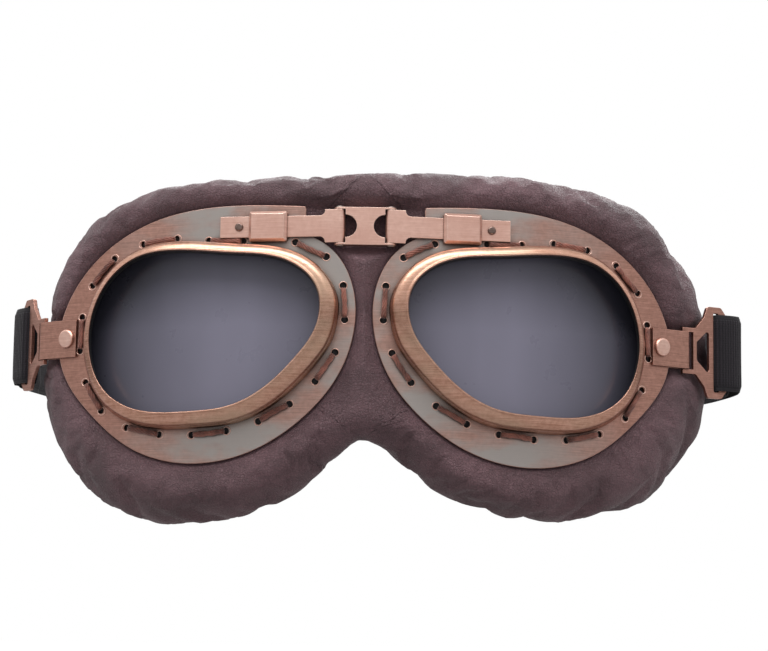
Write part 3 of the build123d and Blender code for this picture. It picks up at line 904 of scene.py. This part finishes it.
def mask_whole():
    outlines = {side: mask_outline(side, sign) for side, sign in SIDES}
    layers = [], []
    for side, sign in SIDES:
        points = mask_side(side, sign, outlines)
        for layer, faces in zip(layers, mask_faces(*points.shape[:2])):
            layer.append((points, [face[::sign] for face in faces]))
    (points, leather_faces), (_, lining_faces) = [joined(layer) for layer in layers]
    return welded(points, (leather_faces, lining_faces))


def height_on_wrap(points):
    return np.hypot(points[:, 0], points[:, 1] - AXIS_Y) - WRAP_RADIUS


BROAD_PUCKERS, FINE_PUCKERS = 75, 160        # noise waves to the metre
RUMPLE_SCALE, RUMPLE = 110, 0.35 * MM        # of the lining


def leather_shaped(points, faces):
    """Puckers near the outline, then cloth simulation of the padded leather."""
    piece, used = piece_of("mask_sim", points, faces, mask_hide)
    start = points[used]
    height = height_on_wrap(start)
    free = np.clip(np.minimum.reduce(outside_metal(start[:, FRONT_VIEW])) / (3.5 * MM), 0, 1)
    free *= np.clip((height - (SEAM + 1 * MM)) / (3 * MM), 0, 1) ** 0.5
    free *= 0.3 + 0.7 * np.clip(np.abs(start[:, 0]) / (12 * MM), 0, 1)
    puckers = ripples(start, BROAD_PUCKERS, 1) * 0.9 + ripples(start, FINE_PUCKERS, 2) * 0.45
    rim = np.clip((-height - 1 * MM) / (7 * MM), 0, 1)
    lift = free * (0.35 + 0.9 * rim) * puckers * MM
    start = start + vertex_values(piece.data, "normal") * lift[:, None]
    move_points(piece.data, start)
    moved = points.copy()
    moved[used] = simulated(piece, start, free)
    bpy.data.objects.remove(piece)
    return moved


SIM_FRAMES = 18
SIM_CAP = 2.2 * MM


def simulated(piece, start, free):
    """The leather blown up a little from inside, held where metal or the seam presses on it."""
    held = piece.vertex_groups.new(name="held")
    for index, share in enumerate(1 - free):
        held.add([index], float(share ** 0.5), "REPLACE")
    cloth = piece.modifiers.new("cloth", "CLOTH")
    settings = cloth.settings
    settings.quality = 5
    settings.mass = 0.15
    settings.tension_stiffness = settings.compression_stiffness = 25
    settings.shear_stiffness = 10
    settings.bending_stiffness = 0.6
    settings.use_pressure = True
    settings.uniform_pressure_force = 4
    settings.shrink_min = -0.035
    settings.vertex_group_mass = "held"
    settings.effector_weights.gravity = 0
    cloth.collision_settings.use_collision = False
    scene = bpy.context.scene
    cloth.point_cache.frame_start, cloth.point_cache.frame_end = 1, SIM_FRAMES
    for number in range(1, SIM_FRAMES + 1):
        scene.frame_set(number)
    view = piece.evaluated_get(bpy.context.evaluated_depsgraph_get())
    move = vertex_values(view.data, "co") - start
    scene.frame_set(1)
    size = np.linalg.norm(move, axis=1)
    move *= (np.minimum(size, SIM_CAP) / np.maximum(size, 1e-9))[:, None]
    return start + move * np.clip(free * 1.5, 0, 1)[:, None]


def piece_of(name, points, faces, finish):
    """A mesh of some of the faces, and the numbers of the points it uses."""
    used = sorted({index for face in faces for index in face})
    lookup = {old: new for new, old in enumerate(used)}
    renumbered = [tuple(lookup[index] for index in face) for face in faces]
    return new_piece(name, points[used], renumbered, finish), used


def move_points(mesh, places):
    mesh.vertices.foreach_set("co", np.asarray(places, np.float32).reshape(-1))
    mesh.update()


MASK_CUTS = (-12 * MM, 0.0, 12 * MM)
MASK_NAMES = ("left_mask_pad", "left_nose_pad", "right_nose_pad", "right_mask_pad")
# the two bodies, and where it lets go of one and takes to the other
BENDS = {True: ("{}_frame", "{}_strip", 26 * MM, 15 * MM),
         False: ("{}_strip", "bridge", 9 * MM, 1.5 * MM)}


def bend(piece, sign, outer):
    """Bakes the piece's transform into its mesh; the two bodies and the span looked up for its side
    are not used, so it is not bent.
    """
    one, other, start, end = BENDS[outer]
    sign * start
    sign * end
    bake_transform(piece)


def build_mask():
    points, (leather_faces, lining_faces) = mask_whole()
    points = leather_shaped(points, leather_faces)
    whole = new_piece("mask_whole", points, leather_faces + lining_faces, mask_hide, closed=True)
    behind_seam = np.clip((SEAM - height_on_wrap(points)) / (2 * MM), 0, 1)
    rumple = ripples(points, RUMPLE_SCALE, 3) * RUMPLE * behind_seam
    points = points + vertex_values(whole.data, "normal") * rumple[:, None]
    move_points(whole.data, points)
    normals = vertex_values(whole.data, "normal")
    polygons = [tuple(polygon.vertices) for polygon in whole.data.polygons]
    bpy.data.objects.remove(whole)
    region = np.digitize([points[list(face), 0].mean() for face in polygons], MASK_CUTS)
    for number, name in enumerate(MASK_NAMES):
        side, sign = SIDES[number // 2]
        outer = number in (0, 3)
        for lined, finish, slot in ((False, mask_hide, "mask_leather"),
                                    (True, lining, "lining_fabric")):
            chosen = [face for index, face in enumerate(polygons)
                      if region[index] == number and (index >= len(leather_faces)) == lined]
            piece, used = piece_of(name + "_lining" * lined, points, chosen, finish)
            piece.data.normals_split_custom_set_from_vertices(normals[used].tolist())
            bend(piece, sign, outer)
            if outer:
                layers = ("mask_lining", "mask_foam") if lined else ("mask_cover",)
                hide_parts(*[f"{side}_{layer}" for layer in layers])
            elif number == 1 and not lined:
                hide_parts("mask_nose_piece")
    add_hem(points, normals, leather_faces, lining_faces)


HEM_RADIUS = 0.75 * MM
HEM_START = 1.2 * MM          # the piping starts this far from the symmetry plane
HEM_POINTS = 480
HEM_LIFT = 0.25 * MM
HEM_PITCH = 5                # path points from stitch to stitch
STITCH_BOW = (0.55, 1.05, 1.1, 0.55)          # heights over the piping's middle, in its radius


def seam_loops(leather_faces, lining_faces):
    """Closed rows of point numbers where the leather meets the lining."""
    def edges(faces):
        return {tuple(sorted(pair)) for face in faces for pair in zip(face, face[1:] + face[:1])}
    neighbours = {}
    for a, b in sorted(edges(leather_faces) & edges(lining_faces)):
        neighbours.setdefault(a, []).append(b)
        neighbours.setdefault(b, []).append(a)
    loops = []
    while neighbours:
        row = [min(neighbours)]
        while True:
            ways = [spot for spot in neighbours.pop(row[-1]) if spot in neighbours]
            if not ways:
                break
            row.append(ways[0])
        loops.append(row)
    return loops


def add_hem(points, normals, leather_faces, lining_faces):
    """Leather piping along the outer seam of each side, with a row of stitches on it."""
    loops = [row for row in seam_loops(leather_faces, lining_faces)
             if np.abs(points[row, 0]).min() < HEM_START]
    for row, (side, sign) in zip(sorted(loops, key=lambda row: points[row, 0].mean()), SIDES):
        kept = np.abs(points[row, 0]) > HEM_START
        row = np.roll(row, -int(np.flatnonzero(kept & ~np.roll(kept, 1))[0]))
        row = row[np.abs(points[row, 0]) > HEM_START]
        path = even_path(points[row], HEM_POINTS)
        nearest = [int(np.argmin(np.sum((points[row] - spot) ** 2, axis=1))) for spot in path]
        out = normals[row][nearest]
        for _ in range(6):
            path[1:-1] = (path[:-2] + 2 * path[1:-1] + path[2:]) / 4
            out[1:-1] = (out[:-2] + 2 * out[1:-1] + out[2:]) / 4
        outer = np.abs(path[:, 0]) > MASK_CUTS[2]
        for near, pad, far_side in ((~outer, "nose_pad", False), (outer, "mask_pad", True)):
            starts = [0] * bool(near[0]) + list(np.flatnonzero(near[1:] & ~near[:-1]) + 1)
            shapes, threads = [], []
            for start in starts:
                rest = np.flatnonzero(~near[start:])
                stop = start + (int(rest[0]) + 1 if len(rest) else len(path))
                run, lift = path[start:stop], out[start:stop]
                shapes.append(tube(run + lift * HEM_LIFT, HEM_RADIUS, 8, (0, 1, 0)))
                for step in range(2, len(run) - len(STITCH_BOW), HEM_PITCH):
                    bow = [run[step + move] + lift[step] * (HEM_LIFT + HEM_RADIUS * rise)
                           for move, rise in enumerate(STITCH_BOW)]
                    threads.append(tube(bow, 0.2 * MM, 6, lift[step]))
            for part, pieces, finish in (("piping", shapes, mask_hide),
                                         ("hem_stitches", threads, dark_thread)):
                piece = new_piece(f"{side}_{pad}_{part}", *joined(pieces), finish, closed=True)
                bend(piece, sign, far_side)

# ---- head strap --------------------------------------------------------------------------------

STRAP_HALF = 12.5 * MM
STRAP_THICK = 1.4 * MM
# loop round the buckle's outer bar: along the buckle plate and out of its front, in mm
LOOP = [(12.1, -2.8), (12.05, -1.2), (12.1, 0.2), (12.7, 1.2), (13.8, 1.5), (16.2, 1.75),
        (18.8, 1.75), (21.2, 1.0), (22.3, -0.8)]
# where the strap leaves each buckle, outside the mask, and runs to the back of the head, in mm
RUNS = {
    "right": [(123.0, 52.5), (122.3, 59), (120.8, 67), (118.2, 78), (114.6, 89), (109.0, 106),
              (101.0, 123), (90.5, 144), (76.0, 165), (58.0, 185), (42.0, 198.5), (30.0, 206),
              (15.0, 206), (0.0, 206)],
    "left": [(115.1, 61.5), (114.6, 66), (113.4, 73), (111.6, 81), (109.4, 90), (105.0, 106),
             (97.5, 124), (87.5, 144), (73.5, 165), (56.5, 185), (41.5, 198.5), (30.0, 206),
             (15.0, 206), (0.0, 206)],
}
# the sewn-down end that comes back along it
PLY = {
    "right": [(118.3, 71.0), (119.6, 65.5), (120.7, 59), (120.3, 54.5), (118.0, 50.5)],
    "left": [(111.0, 76.0), (112.2, 70.5), (113.2, 65.0), (113.1, 60.5), (111.3, 55.6)],
}


STRAP_STEP = 0.9 * MM
CURVE_PARTS = 16


def curve_through(points):
    """Catmull-Rom curve through the points, sampled evenly."""
    points = np.asarray(points, float)
    padded = np.concatenate([[2 * points[0] - points[1]], points, [2 * points[-1] - points[-2]]])
    out = []
    for index in range(1, len(padded) - 2):
        a, b, c, d = padded[index - 1:index + 3]
        for t in np.linspace(0, 1, CURVE_PARTS, endpoint=False):
            out.append(0.5 * (2 * b + (c - a) * t + (2 * a - 5 * b + 4 * c - d) * t * t
                              + (3 * b - a - 3 * c + d) * t ** 3))
    out.append(points[-1])
    out = np.array(out)
    length = np.linalg.norm(np.diff(out, axis=0), axis=1).sum()
    return even_path(out, int(length / STRAP_STEP))


BAND_COLUMNS = 13            # across each face of the strap
EDGE_ROUND = 14              # power that squares off the section
SELVEDGE_FROM, SELVEDGE_THINNER = 0.86, 0.22
CURL, CURL_LENGTH = 0.35 * MM, 23 * MM        # how the strap's edges wave along it


def band(path, middle_z, first):
    """Webbing swept along a top-view path: points, faces and (along, across) for each point."""
    along = unit(np.gradient(path, axis=0))
    out = np.stack([along[:, 1], -along[:, 0]], axis=-1)
    run = first + travelled(path)
    across = np.linspace(-1, 1, BAND_COLUMNS)
    lip = STRAP_THICK / 2 * np.clip(1 - np.abs(across) ** EDGE_ROUND, 0, 1) ** 0.5
    lip *= 1 - SELVEDGE_THINNER * (np.abs(across) > SELVEDGE_FROM)
    section = np.concatenate([np.stack([across * STRAP_HALF, lip], axis=-1),
                              np.stack([across[::-1] * STRAP_HALF, -lip[::-1]], axis=-1)])
    sag = CURL * np.sin(run / CURL_LENGTH)
    points, uv = [], []
    for place, side_way, distance, shift in zip(path, out, run, sag):
        for height, depth in section:
            lean = depth + shift * (height / STRAP_HALF) ** 2 * 0.5
            points.append((*(place + side_way * lean), middle_z + height))
            uv.append((distance / MM, height / MM))
    return np.array(points), capped_faces(len(path), len(section)), uv


def webbing(name, parts):
    """One strap piece made of bands, with its run and width stored for the ribs."""
    shapes = [(points, faces) for points, faces, _ in parts]
    places = [place for _, _, uv in parts for place in uv]
    piece = new_piece(name, *joined(shapes), elastic, closed=True)
    layer = piece.data.uv_layers.new(name="along")
    for loop in piece.data.loops:
        layer.data[loop.index].uv = places[loop.vertex_index]
    return piece


def buckle_frame(side):
    """Buckle bar and the plate's direction in the top view, measured from the CAD."""
    points = node_points(f"{side}_buckle")[:, :2]
    tab = node_points(f"{side}_strap_tab")[:, :2]
    far = points[np.argmax(np.linalg.norm(points - tab.mean(axis=0), axis=1))]
    body = points[np.linalg.norm(points - far, axis=1) < 9 * MM]
    axis = np.linalg.svd(body - body.mean(axis=0), full_matrices=False)[2][0]
    axis *= np.sign(axis @ (far - tab.mean(axis=0)))
    end = body.mean(axis=0) + axis * ((body - body.mean(axis=0)) @ axis).max()
    normal = np.array([axis[1], -axis[0]])
    normal *= -np.sign(normal[1])
    return end - axis * BUCKLE_REACH, axis, normal


BUCKLE_REACH = 16.5 * MM       # bar to the plate's far edge
ROW_HALF = 10.5 * MM
ROW_STITCHES = 11
ROW_STEPS = (0, 3, 9)          # path points at which rows are sewn
STITCH_RUN = [(-0.85, -0.25), (-0.425, 0.12), (0.425, 0.12), (0.85, -0.25)]  # across, and out, in mm


def sewn_row(middle_z, spot, out):
    """Short stitches in a row across the strap."""
    parts = []
    for height in np.linspace(-ROW_HALF, ROW_HALF, ROW_STITCHES):
        run = [(*(spot + out * up * MM), middle_z + height + along * MM) for along, up in STITCH_RUN]
        parts.append(tube(run, 0.17 * MM, 6, (*out, 0)))
    return parts


# each length of strap: where along Y (mm) it lets go of one body and takes to the next
STRAP_STAGES = ((70, 108, "{}_buckle", "{}_frame"), (112, 124, "{}_frame", "{}_strip"),
                (126, 205, "{}_strip", "bridge"))


def strap_side(side, sign):
    middle_z = (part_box("strap_rear")[0].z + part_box("strap_rear")[1].z) / 2
    pivot, axis, normal = buckle_frame(side)
    loop = [pivot + (axis * along + normal * out) * MM for along, out in LOOP]
    run = [np.array((sign * x, y)) * MM for x, y in RUNS[side]]
    ply = [np.array((sign * x, y)) * MM for x, y in PLY[side]]
    main = curve_through(loop + run)
    short = curve_through(ply + [loop[0]])
    marks = [int(np.argmax(main[:, 1] > stage[0] * MM - 2 * MM)) for stage in STRAP_STAGES[1:]]
    cuts = [0] + marks + [len(main) - 1]
    total = travelled(main)
    for number, (start, stop) in enumerate(zip(cuts, cuts[1:])):
        parts = [band(main[start:stop + 1], middle_z, total[start])]
        if number == 0:
            parts.append(band(short, middle_z, 0.3 * MM))
        piece = webbing(f"{side}_strap_{number + 1}", parts)
        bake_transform(piece)
        if number == 0:
            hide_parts(f"{side}_strap_end")
        elif number == 2 and side == "right":
            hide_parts("strap_rear")
    where = int(np.argmax(main[:, 1] > ply[2][1]))
    threads = []
    for step in ROW_STEPS:
        spot, beyond = main[where + step:where + step + 2]
        along = unit(beyond - spot)
        out = np.array([along[1], -along[0]])
        out *= np.sign(out[0] * sign)
        threads += sewn_row(middle_z, spot + out * STRAP_THICK / 2, out)
    seam = new_piece(f"{side}_strap_stitches", *joined(threads), dark_thread, closed=True)
    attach(seam, f"{side}_buckle")


# ---- camera, floor and light ----------------------------------------------------------------

CAMERA_DISTANCE = 700 * MM
CAMERA_RISE = math.radians(-8)
CAMERA_ROLL = math.radians(0.8)
IMAGE_WIDTH = 237 * MM
AIM_X, AIM_ABOVE_EYES = 6.2 * MM, 2.2 * MM
FLOOR_Z = -135 * MM
FLOOR_HALF = 6.0
SKY = ((0.36, 0.09), (0.50, 0.28), (0.60, 0.74), (0.75, 1.3))       # height, and brightness


def add_camera():
    """Product view from slightly below the lens centres."""
    aim = Vector((AIM_X, AXIS_Y - WRAP_RADIUS, eye_centre("left")[1] + AIM_ABOVE_EYES))
    sight = Vector((0, math.cos(CAMERA_RISE), -math.sin(CAMERA_RISE)))
    data = bpy.data.cameras.new("photo_camera")
    data.sensor_width = 36
    data.lens = data.sensor_width * CAMERA_DISTANCE / IMAGE_WIDTH
    camera = bpy.data.objects.new("photo_camera", data)
    camera.location = aim - sight * CAMERA_DISTANCE
    roll = Quaternion((0, 0, 1), CAMERA_ROLL)
    camera.rotation_euler = (sight.to_track_quat("-Z", "Y") @ roll).to_euler()
    bpy.context.scene.collection.objects.link(camera)
    bpy.context.scene.camera = camera


def add_floor():
    """Pale to the camera and greyer to the light that it throws back."""
    corners = [(x * FLOOR_HALF, y * FLOOR_HALF, FLOOR_Z)
               for x, y in ((-1, -1), (1, -1), (1, 1), (-1, 1))]
    made, nodes = shader("studio_floor")
    pale = nodes.mixed(nodes.place().grain(0.01, 3.0), srgb(236, 236, 236), srgb(246, 246, 246))
    seen = nodes.put("LightPath", output="Is Camera Ray")
    tone = nodes.mixed(seen, srgb(160, 158, 158), pale)
    nodes.surface(Base_Color=tone, Roughness=0.9, Emission_Color=tone, Emission_Strength=seen * 0.3)
    new_piece("studio_floor", corners, [(0, 1, 2, 3)], made)


def add_world():
    """White to the camera, and a bright top over a darker bottom for light and reflections."""
    world = bpy.data.worlds.new("studio")
    bpy.context.scene.world = world
    world.use_nodes = True
    world.node_tree.nodes.clear()
    nodes = Nodes(world.node_tree)
    up = nodes.split(nodes.put("TexCoord", output="Generated"))[2]
    ramp = nodes.add("ValToRGB", {0: up * 0.5 + 0.5})
    stops = ramp.color_ramp.elements
    stops[0].position, stops[0].color = 0.0, (0.05, 0.05, 0.055, 1)
    stops[1].position, stops[1].color = 1.0, (1.0, 1.0, 1.0, 1)
    for position, value in SKY:
        stops.new(position).color = (value, value, value, 1)
    light = nodes.put("Background", {"Color": Value(nodes, ramp.outputs[0]), "Strength": 0.85})
    seen = nodes.put("Background", {"Color": (1, 1, 1, 1), "Strength": 1.0})
    ray = nodes.put("LightPath", output="Is Camera Ray")
    nodes.add("OutputWorld", {"Surface": nodes.put("MixShader", {0: ray, 1: light, 2: seen})})


def add_lamp(name, place, aim, size, power, mirrored=True):
    data = bpy.data.lights.new(name, "AREA")
    data.shape, data.size, data.size_y, data.energy = "RECTANGLE", size[0], size[1], power
    lamp = bpy.data.objects.new(name, data)
    lamp.location = place
    lamp.rotation_euler = (Vector(aim) - Vector(place)).to_track_quat("-Z", "Y").to_euler()
    lamp.visible_glossy = mirrored
    bpy.context.scene.collection.objects.link(lamp)


def add_light():
    aim = (0, 0.03, eye_centre("left")[1])
    add_lamp("key_softbox", (-0.12, -0.50, 0.85), aim, (1.3, 0.45), 9.0)
    add_lamp("side_fill", (0.85, -0.45, 0.20), aim, (0.3, 0.7), 0.8, mirrored=False)
    add_lamp("back_light", (0.2, 0.9, 0.60), (0, 0.12, -0.03), (0.9, 0.6), 4.5)
    add_world()


# ---- putting it together ---------------------------------------------------------------------

finish_nodes()
for each_side, _ in SIDES:
    bezel_ring(each_side)
    lace_frame(each_side)
build_mask()
for each_side, each_sign in SIDES:
    strap_side(each_side, each_sign)
add_camera()
add_floor()
add_light()
bpy.context.scene.view_settings.view_transform = "Standard"
